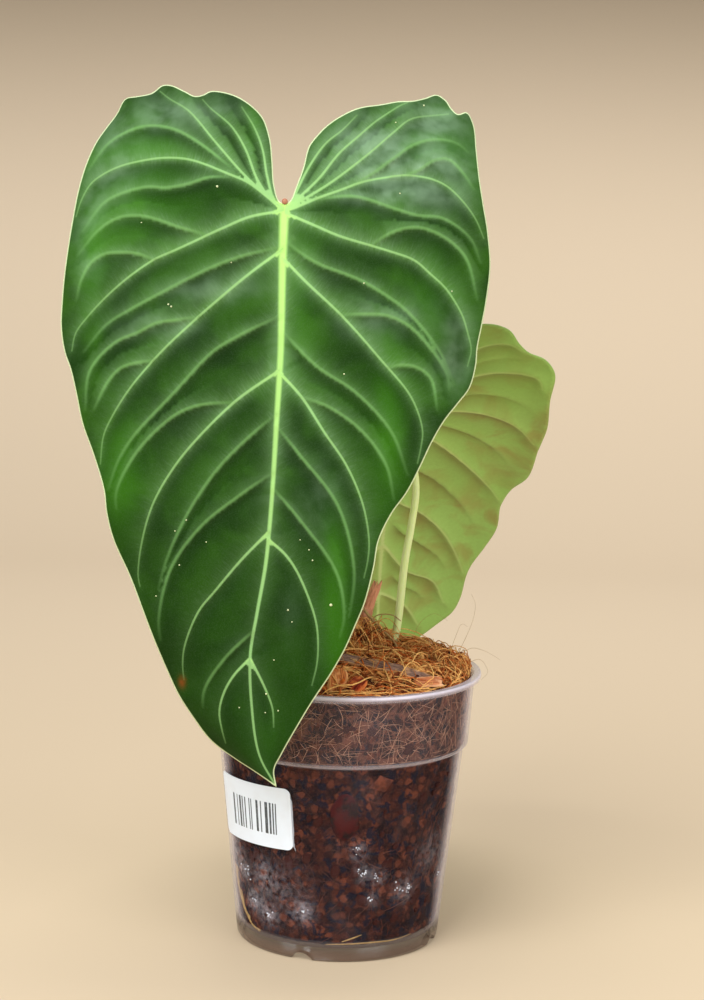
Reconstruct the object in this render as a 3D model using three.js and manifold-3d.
// Splendid philodendron: two heart-shaped velvety leaves on a short stem, in a clear 12 cm nursery
// pot filled with coir and husk chips. Millimetres, +Z up, -Y is the front.
// The origin is the centre of the pot's base, on the plane that the pot stands on.
import * as THREE from "three";
import { mergeVertices } from "three/addons/utils/BufferGeometryUtils.js";
import Module from "manifold-3d";

const wasm = await Module();
wasm.setup();

// Pot: a thin clear wall with a collar, a rolled lip, and a floor raised inside a skirt
const POT_HEIGHT = 118.6;
const RIM_RADIUS = 60;
const COLLAR_TOP_RADIUS = 57.3;
const COLLAR_FOOT_RADIUS = 55.1;
const STEP_HEIGHT = 87.2;
const BODY_TOP_RADIUS = 53.3;
const BODY_FOOT_RADIUS = 44;
const LIP_HEIGHT = 2.6;
const WALL = 1;
const FLOOR_HEIGHT = 5;
const CENTRE_FOOT_RADIUS = 14;
const SKIRT_WIDTH = 3;
const NOTCH_WIDTH = 9;
const NOTCH_HEIGHT = 3.2;
const NOTCH_DROP = 0.7;
const NOTCH_ANGLES = [-20, 70, 160, 250];
const DRAIN_HOLES = 8;
const DRAIN_HOLE_RADIUS = 3;
const DRAIN_HOLE_CIRCLE = 28;
const POT_SEGMENTS = 48;
const GAP = 0.35;
// Booleans leave slivers below this width, which are merged away
const SLIVER = 0.02;

// Sticker on the pot's front left
const STICKER_ANGLES = [-76, -23];
const STICKER_HEIGHTS = [48.2, 75.4];
const STICKER_THICKNESS = 0.3;
const STICKER_CORNER = 3;

// Mound of coir and husk
const SOIL_EDGE_HEIGHT = 117.3;
const SOIL_CROWN = 10.5;
const SOIL_RADIUS = 57;
const SOIL_BUMP = 1.3;
const LOOSE_CHIPS = 34;
const LOOSE_FIBRES = 34;

// Stem, petioles, cataphyll and aerial root
const STEM_RADIUS = 4.5;
const STEM_PATH = [[-2, 12, 94], [-3, 12, 120], [-5, 10, 150]];
const FRONT_PETIOLE_RADII = [2.4, 1.7];
const REAR_PETIOLE_RADII = [1.75, 1.35];
const REAR_PETIOLE_PATH = [
  [4.4, 11.4, 101], [11, 8.6, 113], [19, 7.4, 122], [22.3, 8, 131], [25.8, 12, 164],
  [28.5, 16, 181], [29.9, 19, 194], [28.3, 22, 206], [25, 25.4, 216.5], [21.2, 28.2, 224],
];
const CATAPHYLL_RADII = [3.1, 2.1];
const CATAPHYLL_PATH = [[5.9, 9.2, 120], [7.2, 9, 129], [9.8, 9, 142], [14.2, 9, 155]];
const AERIAL_ROOT_RADIUS = 0.65;
const AERIAL_ROOT_PATH = [
  [0.7, 8.3, 147.4], [4, 6, 146.4], [7.5, 4, 144], [11.1, 2, 140.4], [15.5, 0, 136],
  [21.7, -2, 130.8], [24, -3.4, 125],
];

// Front leaf: joint with its petiole, lean away from the front and roll, in degrees
const FRONT_JOINT = [-28.6, -38, 316.9];
const FRONT_LEAN = 8.54;
const FRONT_ROLL = 1.42;
const FRONT_LENGTH = 236;
const LOBE_LENGTH = 64;
// How far the front blade leaves its plane: along its midrib, where its lobes roll back, beside the
// midrib, at its drooping margins, in their waves, in the lobes' ruffle and between the ribs
const FRONT_ARCH = 9;
const LOBE_ROLL = 26;
const SHOULDER = 7;
const FRONT_DROOP = 12;
const FRONT_WAVE = 2.2;
const LOBE_RUFFLE = 2.5;
const FRONT_QUILTING = 2.4;
// Half width of the blade at heights above the joint
const FRONT_HALF_WIDTHS = [
  [-240, 4], [-200, 38], [-150, 62], [-100, 78], [-50, 88], [0, 90], [30, 84], [55, 70],
];
const FRONT_MIDRIB = [
  [0.2, 2], [-0.5, -22], [-1.2, -60], [-2.8, -88], [-4.6, -118], [-7, -144], [-10.5, -164],
  [-13.3, -181], [-12.9, -201], [-9.8, -222], [-3, -235],
];
// Each margin runs from the sinus over the lobe and down to the tip
const FRONT_LEFT_MARGIN = [
  [0.2, 2], [-2, 2.8], [-4.2, 10], [-5, 20], [-6.2, 30], [-10, 40.5], [-18, 48.2], [-26, 52.5],
  [-31, 53], [-34.4, 50.6], [-37.5, 49.6], [-42, 52.4], [-48, 56.6], [-52, 57], [-56.5, 52.6],
  [-62, 51], [-67.5, 50.6], [-71, 43], [-79.5, 27], [-85, 9], [-88.5, -13], [-91, -37],
  [-91.5, -48], [-90, -58], [-87, -66], [-84.5, -76], [-82, -88], [-77.5, -100.5], [-73, -115],
  [-72, -124], [-69.3, -135], [-62.6, -150], [-57.4, -163.5], [-52.4, -177], [-47.6, -189],
  [-44, -197], [-37.5, -207.5], [-30, -217.5], [-20.4, -224.6], [-12.4, -229], [-6.6, -232.4],
  [-3, -235],
];
const FRONT_RIGHT_MARGIN = [
  [0.2, 2], [2.4, 2.8], [5, 9], [7.8, 17], [10, 26], [13.8, 31.5], [17.5, 35.5], [23, 39.5],
  [30, 43.2], [37, 45.5], [45.5, 47.2], [52.6, 47.6], [58, 50], [63.3, 52.8], [67, 49.8],
  [69.4, 45], [72, 42.2], [75.8, 43.6], [78.6, 37.5], [79.4, 26], [80.3, 13], [81.7, 2],
  [83.4, -9], [84.4, -23], [82.6, -37.5], [80.6, -48], [78.8, -57], [78.2, -64], [75.5, -73.4],
  [70.5, -80], [65, -87], [60, -95.5], [55, -106], [50, -115.5], [43.6, -124.4], [38.5, -135],
  [36.5, -146], [32.9, -160], [28.8, -170], [24.8, -179], [18.8, -189.4], [12, -199.6],
  [5.4, -210.6], [-1, -222], [-3.9, -228], [-3, -235],
];
// Main ribs, from the midrib or the joint to the margin, with the number of strips before each.
// The two halves leave the midrib at the same points.
const FRONT_LEFT_RIBS = [
  { strips: 1, points: [[0.2, 2], [-3.2, 3.4], [-7.4, 13.6], [-9.4, 25], [-12.5, 36], [-19, 49]] },
  { strips: 2, points: [[0.2, 2], [-5, 3.4], [-11.5, 12], [-17, 25], [-24, 38], [-35, 50.5]] },
  { strips: 2, points: [[0.2, 2], [-6.6, 3.2], [-16.5, 13.5], [-34, 36], [-54, 55.5]] },
  { strips: 4, points: [[0.2, 2], [-8, 2.8], [-22, 13.5], [-48, 20.5], [-70, 15.5], [-87.8, -9]] },
  { strips: 4, points: [[0.2, 2], [-8, -2], [-24, -8.5], [-56, -25], [-80, -45], [-89.5, -61]] },
  { strips: 4, points: [[-0.4, -18], [-24, -36], [-52, -62], [-70, -86], [-75.4, -108]] },
  { strips: 4, points: [[-1.6, -66], [-25, -84.5], [-46, -108], [-57, -136], [-60.2, -156]] },
  { strips: 4, points: [[-5.8, -132], [-20, -147], [-35, -165.5], [-41, -185], [-42, -200]] },
  { strips: 3, points: [[-13.2, -181.5], [-22, -193], [-26, -206], [-22, -223.6]] },
];
const FRONT_RIGHT_RIBS = [
  { strips: 1, points: [[0.2, 2], [3.6, 3], [8, 9.5], [13.5, 21], [19.5, 31], [31, 43.5]] },
  { strips: 2, points: [[0.2, 2], [5, 3], [14, 11], [31, 31], [57, 49.5]] },
  { strips: 2, points: [[0.2, 2], [6.4, 2.6], [20, 10.5], [44, 31.5], [72, 42.2]] },
  { strips: 4, points: [[0.2, 2], [8, 1.6], [23, 7], [50, 13.5], [70, 6], [83.5, -16]] },
  { strips: 4, points: [[0.2, 2], [8, -4], [23, -12], [54, -22.5], [71, -42], [77.2, -68]] },
  { strips: 4, points: [[-0.4, -18], [24, -45], [46, -70], [56, -92], [53.4, -109]] },
  { strips: 4, points: [[-1.6, -66], [17, -92], [30, -115], [34.4, -136], [34.4, -154]] },
  { strips: 4, points: [[-5.8, -132], [6, -149.5], [13, -169], [13.6, -186], [12.4, -199]] },
  { strips: 3, points: [[-13.2, -181.5], [-8.4, -194], [-4, -205], [1.8, -216.6]] },
];

// Rear leaf: the same, seen from beneath, so its own front is its underside
const REAR_JOINT = [21, 30, 226];
const REAR_LEAN = -42;
const REAR_ROLL = -3;
const REAR_LENGTH = 188;
const REAR_HALF_WIDTH = 75;
// The same for the rear blade, seen from beneath: arch, curled margins, folds, waves, ribs, quilting
const REAR_ARCH = 11;
const REAR_CURL = 5;
const REAR_FOLD = 4;
const REAR_WAVE = 2;
const REAR_MIDRIB_HEIGHT = 1.6;
const REAR_QUILTING = 2.2;
const REAR_MIDRIB = [[0, 1], [0.6, -50], [1.4, -105], [3, -150], [5, -188]];
const REAR_RIGHT_MARGIN = [
  [0, 1], [3, 12], [9, 32], [18, 48], [32, 56], [43, 54], [49, 46], [54, 41], [61, 38], [66, 31],
  [66, 15], [67.5, -8], [66, -24], [64, -49], [58, -62], [55, -74], [55, -92], [51, -108],
  [45, -125], [43, -145], [40, -155], [33, -164], [23, -175], [14, -182.5], [5, -188],
];
const REAR_LEFT_MARGIN = [
  [0, 1], [-3, 13], [-8, 33], [-19, 50], [-33, 55], [-45, 51], [-56, 44], [-63, 34], [-68, 14],
  [-69, -10], [-67, -32], [-62, -52], [-58, -72], [-55, -90], [-49, -110], [-44, -130],
  [-39, -148], [-30, -163], [-17, -178], [-6, -185.5], [5, -188],
];
const REAR_RIGHT_RIBS = [
  { strips: 2, points: [[0, 1], [4.4, 3], [14, 20], [30, 41], [44, 53.4]] },
  { strips: 3, points: [[0, 1], [6, 3], [17, 15], [34, 26], [53, 28], [66, 12]] },
  { strips: 3, points: [[0, 1], [7, 1], [20, 1.5], [40, 0], [53, -7], [65, -38]] },
  { strips: 3, points: [[0.1, -6], [18, -23], [34, -42], [46, -58], [54.6, -84]] },
  { strips: 3, points: [[0.6, -50], [17, -80], [30, -98], [39, -117], [43.4, -136]] },
  { strips: 3, points: [[1.4, -105], [15, -126], [28, -137], [35, -150], [35, -161.6]] },
  { strips: 2, points: [[3, -150], [12, -160], [19, -170], [20, -177.6]] },
];
const REAR_LEFT_RIBS = [
  { strips: 2, points: [[0, 1], [-4.4, 3], [-14, 21], [-30, 40], [-45, 51]] },
  { strips: 3, points: [[0, 1], [-6, 3], [-18, 13], [-36, 21], [-53, 18], [-69, -3]] },
  { strips: 3, points: [[0, 1], [-7, 0.6], [-20, 0], [-40, -6], [-55, -20], [-63, -48]] },
  { strips: 3, points: [[0.1, -6], [-18, -24], [-34, -44], [-48, -64], [-55, -90]] },
  { strips: 3, points: [[0.6, -50], [-16, -80], [-29, -102], [-39, -119], [-44, -130]] },
  { strips: 3, points: [[1.4, -105], [-11, -127], [-23, -142], [-31, -152], [-32, -161]] },
  { strips: 2, points: [[3, -150], [-5, -162], [-10, -171], [-11.6, -182.4]] },
];
const ROWS = [0, 0.09, 0.2, 0.33, 0.47, 0.61, 0.75, 0.88, 1];
const BLADE_THICKNESS = 0.9;

const material = (color, roughness, extra = {}) =>
  new THREE.MeshStandardMaterial({ color, roughness, metalness: 0, ...extra });
const clearPlastic = material(0xc9c4c0, 0.2, { transparent: true, opacity: 0.4 });
const stickerPaper = material(0xf2f0ec, 0.6);
const coir = material(0x5a3520, 0.95);
const greyHusk = material(0x6b5148, 0.9);
const orangeHusk = material(0xc06a2c, 0.85);
const redHusk = material(0xa03a18, 0.8);
const velvetGreen = material(0x2f5f2b, 0.75);
const undersideGreen = material(0x86a04c, 0.7);
const petioleGreen = material(0xa9c170, 0.6);
const stemGreen = material(0x75733a, 0.8);
const drySheath = material(0x8c5a3c, 0.85);
const rootTan = material(0xb48c58, 0.85);

const radians = THREE.MathUtils.degToRad;
const clamp01 = (value) => Math.min(1, Math.max(0, value));

// A seeded generator of numbers from 0 to 1
function randomFrom(seed) {
  let state = seed;
  return () => {
    state = (state * 1664525 + 1013904223) % 4294967296;
    return state / 4294967296;
  };
}

// Closed solids as manifolds, and back
function toSolid(geometry) {
  const bare = geometry.index ? geometry.toNonIndexed() : geometry.clone();
  const onlyPosition = new THREE.BufferGeometry();
  onlyPosition.setAttribute("position", bare.getAttribute("position"));
  const merged = mergeVertices(onlyPosition, 1e-3);
  return new wasm.Manifold(new wasm.Mesh({
    numProp: 3,
    vertProperties: merged.attributes.position.array,
    triVerts: new Uint32Array(merged.index.array),
  }));
}

function toGeometry(solid) {
  const mesh = solid.getMesh();
  const geometry = new THREE.BufferGeometry();
  geometry.setAttribute("position", new THREE.BufferAttribute(mesh.vertProperties, 3));
  geometry.setIndex(new THREE.BufferAttribute(mesh.triVerts, 1));
  return geometry;
}

const largestBody = (solid) =>
  solid.decompose().reduce((best, body) => (body.volume() > best.volume() ? body : best));

const joined = (solids) => solids.reduce((all, solid) => all.add(solid));

function curveThrough(points) {
  const vectors = points.map(([x, y, z = 0]) => new THREE.Vector3(x, y, z));
  return new THREE.CatmullRomCurve3(vectors, false, "centripetal");
}

// A tube along a path, whose radius goes evenly from the first to the last of two radii
function tube(points, [startRadius, endRadius], sides, steps, outline) {
  const curve = curveThrough(points);
  const section = outline ?? new THREE.Shape(
    Array.from({ length: sides }, (_, i) => new THREE.Vector2(
      Math.cos((2 * Math.PI * i) / sides),
      Math.sin((2 * Math.PI * i) / sides),
    )),
  );
  const geometry = new THREE.ExtrudeGeometry(section, { steps, extrudePath: curve, bevelEnabled: false });
  const centres = Array.from({ length: steps + 1 }, (_, i) => curve.getPointAt(i / steps));
  const position = geometry.attributes.position;
  const vertex = new THREE.Vector3();
  for (let i = 0; i < position.count; i += 1) {
    vertex.fromBufferAttribute(position, i);
    let nearest = 0;
    centres.forEach((centre, k) => {
      if (centre.distanceTo(vertex) < centres[nearest].distanceTo(vertex)) nearest = k;
    });
    const radius = THREE.MathUtils.lerp(startRadius, endRadius, nearest / steps);
    vertex.sub(centres[nearest]).multiplyScalar(radius).add(centres[nearest]);
    position.setXYZ(i, vertex.x, vertex.y, vertex.z);
  }
  return geometry;
}

// A sheet of triangles over numbered points, closed into a solid between two faces
function sheetSolid(front, back, triangles) {
  const count = front.length;
  const faces = [];
  const border = new Map();
  for (const [a, b, c] of triangles) {
    faces.push([a, b, c], [a + count, c + count, b + count]);
    for (const [p, q] of [[a, b], [b, c], [c, a]]) {
      if (!border.delete(`${q},${p}`)) border.set(`${p},${q}`, [p, q]);
    }
  }
  for (const [p, q] of border.values()) {
    faces.push([q, p, p + count], [q, p + count, q + count]);
  }
  const geometry = new THREE.BufferGeometry();
  geometry.setAttribute("position", new THREE.Float32BufferAttribute([...front, ...back].flat(), 3));
  geometry.setIndex(faces.flat());
  return geometry;
}

// Points of one half of a blade, in columns that follow the ribs from the midrib to the margin
function bladeColumns(margin, ribs, midrib) {
  const edge = curveThrough(margin);
  const steps = 1200;
  const nearestOn = (curve, point) => {
    let best = { share: 0, distance: Infinity };
    for (let i = 0; i <= steps; i += 1) {
      const distance = curve.getPointAt(i / steps).distanceTo(point);
      if (distance < best.distance) best = { share: i / steps, distance };
    }
    return best.share;
  };
  const lines = ribs.map(({ strips, points }) => {
    const curve = curveThrough(points);
    return {
      strips,
      root: nearestOn(midrib, curve.getPointAt(0)),
      end: nearestOn(edge, curve.getPointAt(1)),
      at: (v) => curve.getPointAt(v),
    };
  });
  const firstEnd = lines[0].end * 0.8;
  const tip = midrib.getPointAt(1);
  let before = { root: 0, end: firstEnd, at: (v) => edge.getPointAt(v * firstEnd) };
  const columns = [ROWS.map((v) => ({ point: before.at(v), v, between: 0 }))];
  for (const line of [...lines, { strips: 2, root: 1, end: 1, at: () => tip }]) {
    for (let k = 1; k <= line.strips; k += 1) {
      const share = k / line.strips;
      const previous = before;
      const mixed = (v) => new THREE.Vector3().lerpVectors(previous.at(v), line.at(v), share);
      const rootShift = midrib.getPointAt(THREE.MathUtils.lerp(previous.root, line.root, share))
        .sub(mixed(0));
      const endShift = edge.getPointAt(THREE.MathUtils.lerp(previous.end, line.end, share))
        .sub(mixed(1));
      columns.push(ROWS.map((v) => {
        const point = mixed(v).addScaledVector(rootShift, (1 - v) ** 2).addScaledVector(endShift, v * v);
        return { point, v, between: share };
      }));
    }
    before = line;
  }
  return columns;
}

// A blade of two halves that meet on the midrib. Depth and thickness are functions of the place.
function bladeGeometry({ midrib, halves, depth, thickness }) {
  const rib = curveThrough(midrib);
  const front = [];
  const back = [];
  const numbers = new Map();
  const number = ({ point, v, between }) => {
    const key = `${point.x.toFixed(2)},${point.y.toFixed(2)}`;
    if (!numbers.has(key)) {
      numbers.set(key, front.length);
      const z = depth(point.x, point.y, v, between);
      front.push([point.x, point.y, z]);
      back.push([point.x, point.y, z - thickness(point.y, v, between)]);
    }
    return numbers.get(key);
  };
  const triangles = [];
  halves.forEach(({ margin, ribs }, side) => {
    const columns = bladeColumns(margin, ribs, rib);
    for (let i = 0; i + 1 < columns.length; i += 1) {
      for (let j = 0; j + 1 < ROWS.length; j += 1) {
        const [a, b, c, d] = [
          columns[i][j], columns[i + 1][j], columns[i + 1][j + 1], columns[i][j + 1],
        ].map(number);
        for (const triangle of [[a, c, b], [a, d, c]]) {
          if (new Set(triangle).size < 3) continue;
          triangles.push(side === 0 ? triangle : triangle.reverse());
        }
      }
    }
  });
  return sheetSolid(front, back, triangles);
}

// Relief of the lamina between two ribs: none on a rib or the midrib, and a shallow groove halfway
function quilting(v, between) {
  const across = Math.sin(Math.PI * between) ** 0.7;
  const groove = 0.3 * Math.exp(-(((between - 0.5) / 0.12) ** 2));
  const along = Math.min(1, v / 0.2) * (1 - 0.6 * clamp01((v - 0.75) / 0.25));
  return Math.max(0, across - groove) * along;
}

const onRib = (between) => (between === 0 || between === 1 ? 1 : 0);

function halfWidthAt(y) {
  const after = FRONT_HALF_WIDTHS.findIndex(([height]) => height >= y);
  if (after <= 0) return FRONT_HALF_WIDTHS.at(after)[1];
  const [[y0, w0], [y1, w1]] = FRONT_HALF_WIDTHS.slice(after - 1, after + 1);
  return THREE.MathUtils.mapLinear(y, y0, y1, w0, w1);
}

// The front blade arches along its midrib, its lobes roll back and its margins droop and wave
function frontBladeDepth(x, y, v, between) {
  const down = clamp01(-y / FRONT_LENGTH);
  const across = Math.abs(x) / halfWidthAt(y);
  const arch = FRONT_ARCH * Math.sin(Math.PI * down);
  const rolledLobe = LOBE_ROLL * (Math.max(0, y + 12) / LOBE_LENGTH) ** 1.7;
  const shoulder = SHOULDER * Math.sin(Math.PI * 0.85 * Math.min(across, 1.2)) * (1 - 0.3 * down);
  const droop = FRONT_DROOP * Math.min(across, 1.3) ** 2.4 * (1 - 0.55 * down);
  const wave = FRONT_WAVE * Math.max(0, across - 0.5) * Math.sin(y / 7.5 + Math.sign(x));
  const ruffle = LOBE_RUFFLE * clamp01((y - 30) / 15) * Math.sin(x / 3.6);
  return arch - rolledLobe + shoulder - droop + wave + ruffle + FRONT_QUILTING * quilting(v, between);
}

function frontBladeThickness(y, v, between) {
  const midrib = v === 0 ? 1.7 * (1 - 0.8 * clamp01(-y / FRONT_LENGTH)) : 0;
  return BLADE_THICKNESS + midrib + 0.7 * onRib(between) * (1 - v) * clamp01(v / 0.2);
}

// The rear blade shows its underside, where the midrib and the ribs stand proud
function rearBladeDepth(x, y, v, between) {
  const across = Math.abs(x) / REAR_HALF_WIDTH;
  const arch = REAR_ARCH * Math.sin(Math.PI * clamp01(-y / REAR_LENGTH));
  const curl = REAR_CURL * Math.min(across, 1.3) ** 2.5;
  const fold = REAR_FOLD * Math.sin(Math.PI * 0.8 * Math.min(across, 1.2));
  const wave = REAR_WAVE * Math.max(0, across - 0.5) * Math.sin(y / 8);
  const midrib = v === 0 ? REAR_MIDRIB_HEIGHT * clamp01((y + 190) / 100) : 0;
  const rib = onRib(between) * (1 - v) * clamp01(v / 0.2);
  return curl - arch - fold + wave + midrib + rib - REAR_QUILTING * quilting(v, between);
}

const rearBladeThickness = (y, v, between) =>
  BLADE_THICKNESS + (v === 0 ? 0.6 : 0) + 0.5 * onRib(between) * (1 - v) * clamp01(v / 0.2);

// Lathe profiles as [radius, height], from the axis at the bottom to the axis at the top
function lathe(profile) {
  const points = profile.map(([r, z]) => new THREE.Vector2(r, z));
  const geometry = new THREE.LatheGeometry(points, POT_SEGMENTS);
  geometry.rotateX(Math.PI / 2);
  return geometry;
}

const outerRadiusAt = (z) => (z < STEP_HEIGHT
  ? THREE.MathUtils.mapLinear(z, 0, STEP_HEIGHT, BODY_FOOT_RADIUS, BODY_TOP_RADIUS)
  : THREE.MathUtils.mapLinear(z, STEP_HEIGHT, POT_HEIGHT, COLLAR_FOOT_RADIUS, COLLAR_TOP_RADIUS));

function buildPot() {
  const lipFoot = POT_HEIGHT - LIP_HEIGHT;
  const skirtInside = BODY_FOOT_RADIUS - SKIRT_WIDTH;
  const solid = toSolid(lathe([
    [0, 0],
    [CENTRE_FOOT_RADIUS, 0],
    [CENTRE_FOOT_RADIUS + 3, FLOOR_HEIGHT],
    [skirtInside - 1.5, FLOOR_HEIGHT],
    [skirtInside, 0],
    [BODY_FOOT_RADIUS - 1.2, 0],
    [BODY_FOOT_RADIUS - 0.3, 0.7],
    [outerRadiusAt(2.4), 2.4],
    [outerRadiusAt(STEP_HEIGHT - 1), STEP_HEIGHT - 1],
    [COLLAR_FOOT_RADIUS, STEP_HEIGHT],
    [outerRadiusAt(lipFoot), lipFoot],
    [RIM_RADIUS - 0.6, lipFoot],
    [RIM_RADIUS, lipFoot + 0.6],
    [RIM_RADIUS, POT_HEIGHT - 0.6],
    [RIM_RADIUS - 0.7, POT_HEIGHT],
    [COLLAR_TOP_RADIUS - WALL + 0.5, POT_HEIGHT],
    [COLLAR_TOP_RADIUS - WALL, POT_HEIGHT - 0.6],
    [COLLAR_FOOT_RADIUS - WALL, STEP_HEIGHT + 0.6],
    [BODY_TOP_RADIUS - WALL, STEP_HEIGHT - 0.4],
    [outerRadiusAt(FLOOR_HEIGHT + 3) - WALL, FLOOR_HEIGHT + 3],
    [outerRadiusAt(FLOOR_HEIGHT + WALL) - WALL - 0.6, FLOOR_HEIGHT + WALL],
    [CENTRE_FOOT_RADIUS + 2.4, FLOOR_HEIGHT + WALL],
    [CENTRE_FOOT_RADIUS - 0.6, WALL],
    [0, WALL],
  ]));
  const cuts = NOTCH_ANGLES.map((angle) => {
    const arch = new THREE.CylinderGeometry(NOTCH_WIDTH / 2, NOTCH_WIDTH / 2, 12, 14);
    arch.rotateY(radians(4));
    arch.scale(1, 1, (NOTCH_HEIGHT + NOTCH_DROP) / (NOTCH_WIDTH / 2));
    arch.translate(0, -BODY_FOOT_RADIUS, -NOTCH_DROP);
    arch.rotateZ(radians(angle));
    return toSolid(arch);
  });
  for (let i = 0; i < DRAIN_HOLES; i += 1) {
    const hole = new THREE.CylinderGeometry(DRAIN_HOLE_RADIUS, DRAIN_HOLE_RADIUS, 8, 12);
    hole.rotateX(Math.PI / 2);
    hole.translate(DRAIN_HOLE_CIRCLE, 0, FLOOR_HEIGHT);
    hole.rotateZ((2 * Math.PI * (i + 0.5)) / DRAIN_HOLES);
    cuts.push(toSolid(hole));
  }
  return cuts.reduce((pot, cut) => pot.subtract(cut), solid);
}

// A thin plate with rounded corners that follows the pot's wall just clear of it
function buildSticker() {
  const [from, to] = STICKER_ANGLES.map(radians);
  const [low, high] = STICKER_HEIGHTS;
  const length = (to - from) * BODY_TOP_RADIUS;
  const straight = length - 2 * STICKER_CORNER;
  const corner = [0, 0.05, 0.17, 0.33, 0.67, 1].map((share) => share * STICKER_CORNER);
  const middle = Array.from({ length: 13 }, (_, i) => STICKER_CORNER + (straight * (i + 1)) / 14);
  const stations = [...corner, ...middle, ...corner.map((s) => length - s).reverse()];
  const inner = [];
  const outer = [];
  const triangles = [];
  stations.forEach((s, i) => {
    const reach = Math.min(s, length - s, STICKER_CORNER);
    const rounding = STICKER_CORNER - Math.sqrt(STICKER_CORNER ** 2 - (STICKER_CORNER - reach) ** 2);
    const angle = from + s / BODY_TOP_RADIUS;
    [low + rounding, (low + high) / 2, high - rounding].forEach((z) => {
      [[inner, GAP], [outer, GAP + STICKER_THICKNESS]].forEach(([list, off]) => {
        const r = outerRadiusAt(z) + off;
        list.push([r * Math.sin(angle), -r * Math.cos(angle), z]);
      });
    });
    if (i === 0) return;
    const a = 3 * (i - 1);
    const b = 3 * i;
    for (const k of [0, 1]) {
      triangles.push([a + k, b + k, b + k + 1], [a + k, b + k + 1, a + k + 1]);
    }
  });
  return sheetSolid(outer, inner, triangles);
}

const moundHeight = (r) =>
  SOIL_EDGE_HEIGHT + SOIL_CROWN * clamp01(1 - (r / SOIL_RADIUS) ** 2) ** 0.8;

// A flat chip of husk with irregular corners, lying at a place on the mound
function huskChip(random, length, width, thickness) {
  const shape = new THREE.Shape([
    [-0.5, -0.35 - 0.15 * random()],
    [0.1 * random(), -0.5],
    [0.5, -0.3 - 0.2 * random()],
    [0.42, 0.3 + 0.2 * random()],
    [-0.1 * random(), 0.5],
    [-0.46, 0.25 + 0.2 * random()],
  ].map(([x, y]) => new THREE.Vector2(x * length, y * width)));
  const geometry = new THREE.ExtrudeGeometry(shape, { depth: thickness, bevelEnabled: false });
  geometry.translate(0, 0, -thickness / 2);
  return geometry;
}

function laid(geometry, { x, y, z, turn, tilt, roll = 0 }) {
  geometry.rotateX(radians(roll));
  geometry.rotateY(radians(tilt));
  geometry.rotateZ(radians(turn));
  geometry.translate(x, y, z);
  return geometry;
}

function looseChips(random) {
  return Array.from({ length: LOOSE_CHIPS }, () => {
    const r = 50 * Math.sqrt(random());
    const angle = 2 * Math.PI * random();
    const chip = huskChip(random, 7 + 8 * random(), 3.5 + 3 * random(), 1.6 + random());
    return toSolid(laid(chip, {
      x: r * Math.cos(angle),
      y: r * Math.sin(angle),
      z: moundHeight(r) + 0.2,
      turn: 360 * random(),
      tilt: 50 * (random() - 0.5),
      roll: 40 * (random() - 0.5),
    }));
  });
}

// Coir fibres that leave the mound and come back into it in a low arch
function looseFibres(random) {
  return Array.from({ length: LOOSE_FIBRES }, () => {
    const r = 48 * Math.sqrt(random());
    const angle = 2 * Math.PI * random();
    const heading = 2 * Math.PI * random();
    const span = 10 + 12 * random();
    const ends = [-0.5, 0.5].map((side) => {
      const x = r * Math.cos(angle) + side * span * Math.cos(heading);
      const y = r * Math.sin(angle) + side * span * Math.sin(heading);
      const scale = Math.min(1, 52 / Math.hypot(x, y));
      return [x * scale, y * scale];
    });
    const height = 2 + 4 * random();
    const surface = (x, y) => moundHeight(Math.hypot(x, y));
    const [[x0, y0], [x1, y1]] = ends;
    const path = [
      [x0, y0, surface(x0, y0) - 3.5],
      [0.75 * x0 + 0.25 * x1, 0.75 * y0 + 0.25 * y1, surface(x0, y0) + 0.6 * height],
      [(x0 + x1) / 2, (y0 + y1) / 2, surface((x0 + x1) / 2, (y0 + y1) / 2) + height],
      [x1, y1, surface(x1, y1) - 3.5],
    ];
    return toSolid(tube(path, [0.5, 0.5], 3, 5));
  });
}

const moundBump = (x, y) => SOIL_BUMP * (Math.sin(x / 3.1 + 1.3 * Math.sin(y / 5)) * Math.cos(y / 3.7)
  + 0.5 * Math.sin((x - y) / 2.3));

function buildSubstrateCore() {
  const inside = (z) => outerRadiusAt(z) - WALL - GAP;
  const floor = FLOOR_HEIGHT + WALL + GAP;
  const rings = [55.4, 51, 45, 38.5, 31.5, 24, 16, 8, 0];
  const geometry = lathe([
    [0, WALL + GAP],
    [CENTRE_FOOT_RADIUS - 1, WALL + GAP],
    [CENTRE_FOOT_RADIUS + 2, floor],
    [inside(floor) - 0.8, floor],
    [inside(floor + 2), floor + 2],
    [inside(STEP_HEIGHT - 1), STEP_HEIGHT - 0.5],
    [inside(STEP_HEIGHT + 1), STEP_HEIGHT + 0.8],
    [inside(POT_HEIGHT - 3), POT_HEIGHT - 3],
    ...rings.map((r) => [r, moundHeight(r)]),
  ]);
  const position = geometry.attributes.position;
  for (let i = 0; i < position.count; i += 1) {
    const [x, y, z] = [position.getX(i), position.getY(i), position.getZ(i)];
    const r = Math.hypot(x, y);
    const onTop = z > POT_HEIGHT - 2 && r < rings[0] - 1;
    if (onTop) position.setZ(i, z + moundBump(r < 0.5 ? 0 : x, r < 0.5 ? 0 : y));
  }
  return toSolid(geometry);
}

// Three large husk pieces that lie apart on the mound, each with a colour of its own
const LARGE_CHIPS = [
  {
    name: "husk_strip",
    colour: greyHusk,
    size: [44, 6, 1.7],
    place: { x: 15, y: -31.5, z: 125.4, turn: -12, tilt: 8.5, roll: 24 },
  },
  {
    name: "husk_chip_orange",
    colour: orangeHusk,
    size: [11, 6.5, 1.6],
    place: { x: -2.2, y: -46.5, z: 121.4, turn: 84, tilt: -52, roll: 12 },
  },
  {
    name: "husk_chip_red",
    colour: redHusk,
    size: [8, 6, 1.6],
    place: { x: 6, y: -48.5, z: 120, turn: 40, tilt: -34, roll: 20 },
  },
];

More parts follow.
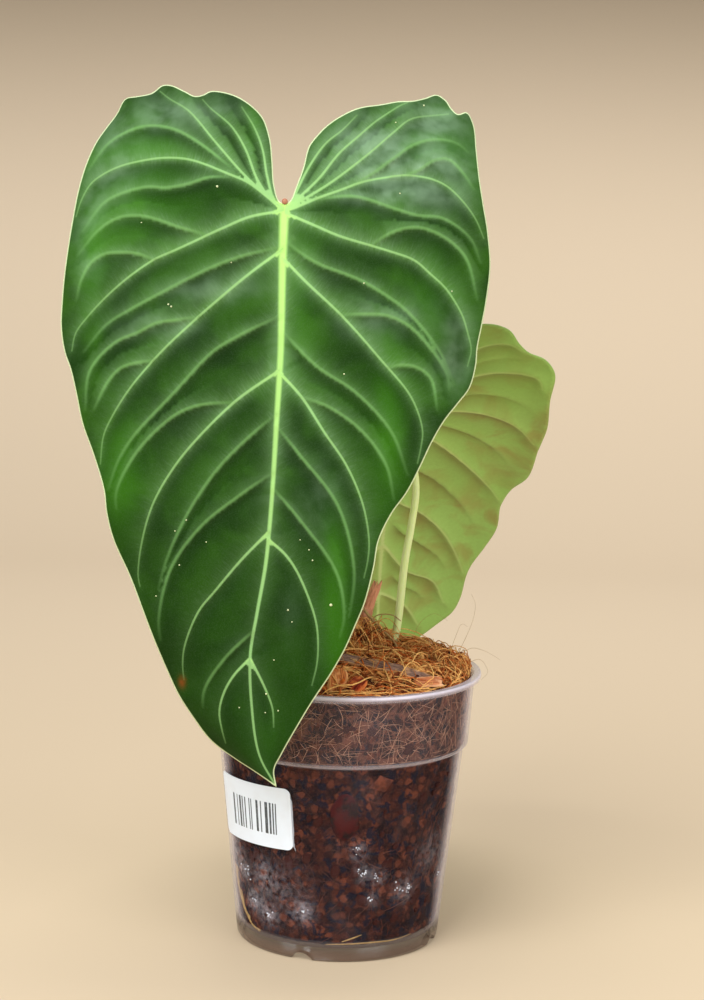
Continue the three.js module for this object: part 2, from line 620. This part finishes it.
function largeChip({ size: [length, width, thickness], place }, margin = 0) {
  const random = randomFrom(length * 7);
  return toSolid(laid(
    huskChip(random, length + 2 * margin, width + 2.4 * margin, thickness + 2 * margin),
    place,
  ));
}

// The dried sheath is a curled strip, so its section is a crescent
function crescent() {
  const shape = new THREE.Shape();
  const arc = (radius, from, to) => Array.from({ length: 6 }, (_, i) => {
    const angle = radians(THREE.MathUtils.lerp(from, to, i / 5));
    return new THREE.Vector2(radius * Math.cos(angle), radius * Math.sin(angle));
  });
  shape.setFromPoints([...arc(1, -75, 75), ...arc(0.55, 65, -65)]);
  return shape;
}

// The petiole runs up behind the blade and hooks over into the sinus
function frontPetiolePath(frontLeaf) {
  const local = (x, y, z) => new THREE.Vector3(x, y, z).applyMatrix4(frontLeaf.matrixWorld).toArray();
  return [
    [-5, 10, 150.5], [-7, 11.5, 175], [-11, 8, 215], [-17, -2, 252], [-23, -15, 282],
    local(0.3, -20, -15), local(0.3, -8, -12), local(0.3, 0, -9.4), local(0.3, 3.8, -6.2),
    local(0.3, 4.8, -3), local(0.3, 4.9, -0.4),
  ];
}

const potted = new THREE.Group();

function add(name, geometry, colour, parent = potted) {
  const mesh = new THREE.Mesh(geometry, colour);
  mesh.name = name;
  geometry.computeVertexNormals();
  parent.add(mesh);
  return mesh;
}

add("pot", toGeometry(buildPot()), clearPlastic);
add("pot_label", buildSticker(), stickerPaper);

const frontLeaf = new THREE.Group();
frontLeaf.position.set(...FRONT_JOINT);
frontLeaf.rotation.set(radians(90 - FRONT_LEAN), 0, radians(FRONT_ROLL));
potted.add(frontLeaf);
frontLeaf.updateMatrixWorld(true);
add("leaf_front", bladeGeometry({
  midrib: FRONT_MIDRIB,
  halves: [
    { margin: FRONT_LEFT_MARGIN, ribs: FRONT_LEFT_RIBS },
    { margin: FRONT_RIGHT_MARGIN, ribs: FRONT_RIGHT_RIBS },
  ],
  depth: frontBladeDepth,
  thickness: frontBladeThickness,
}), velvetGreen, frontLeaf);

const rearLeaf = new THREE.Group();
rearLeaf.position.set(...REAR_JOINT);
rearLeaf.rotation.set(radians(90 - REAR_LEAN), 0, radians(REAR_ROLL));
potted.add(rearLeaf);
add("leaf_rear", bladeGeometry({
  midrib: REAR_MIDRIB,
  halves: [
    { margin: REAR_LEFT_MARGIN, ribs: REAR_LEFT_RIBS },
    { margin: REAR_RIGHT_MARGIN, ribs: REAR_RIGHT_RIBS },
  ],
  depth: rearBladeDepth,
  thickness: rearBladeThickness,
}), undersideGreen, rearLeaf);

const frontPath = frontPetiolePath(frontLeaf);
add("petiole_front", tube(frontPath, FRONT_PETIOLE_RADII, 9, 38), petioleGreen);
add("petiole_rear", tube(REAR_PETIOLE_PATH, REAR_PETIOLE_RADII, 8, 22), petioleGreen);
add("stem", tube(STEM_PATH, [STEM_RADIUS, STEM_RADIUS * 0.9], 12, 8), stemGreen);
add("cataphyll", tube(CATAPHYLL_PATH, CATAPHYLL_RADII, 0, 10, crescent()), drySheath);
add("aerial_root", tube(AERIAL_ROOT_PATH, [AERIAL_ROOT_RADIUS, AERIAL_ROOT_RADIUS], 6, 18), rootTan);
for (const chip of LARGE_CHIPS) add(chip.name, toGeometry(largeChip(chip)), chip.colour);

// The mound with its loose chips and fibres in one body, and plain holes for what stands in it
const random = randomFrom(20);
const filled = joined([buildSubstrateCore(), ...looseChips(random), ...looseFibres(random)]);
const stemHole = [STEM_RADIUS + GAP, STEM_RADIUS + GAP];
const rootHole = [AERIAL_ROOT_RADIUS + GAP, AERIAL_ROOT_RADIUS + GAP];
const holes = joined([
  toSolid(tube(STEM_PATH, stemHole, 12, 8)),
  toSolid(tube([[-2, 12, 92], [-2, 12, 94], [-2, 12, 96]], stemHole, 12, 2)),
  toSolid(tube(REAR_PETIOLE_PATH, REAR_PETIOLE_RADII.map((r) => r + GAP), 8, 22)),
  toSolid(tube(CATAPHYLL_PATH.with(0, [5.6, 9.3, 118]), CATAPHYLL_RADII.map((r) => r + 2 * GAP), 8, 6)),
  toSolid(tube(AERIAL_ROOT_PATH.with(-1, [24.1, -3.6, 124]), rootHole, 6, 12)),
  ...LARGE_CHIPS.map((chip) => largeChip(chip, GAP)),
]);
const mound = largestBody(filled.subtract(holes)).simplify(SLIVER);
add("substrate", toGeometry(mound), coir);

export default potted;
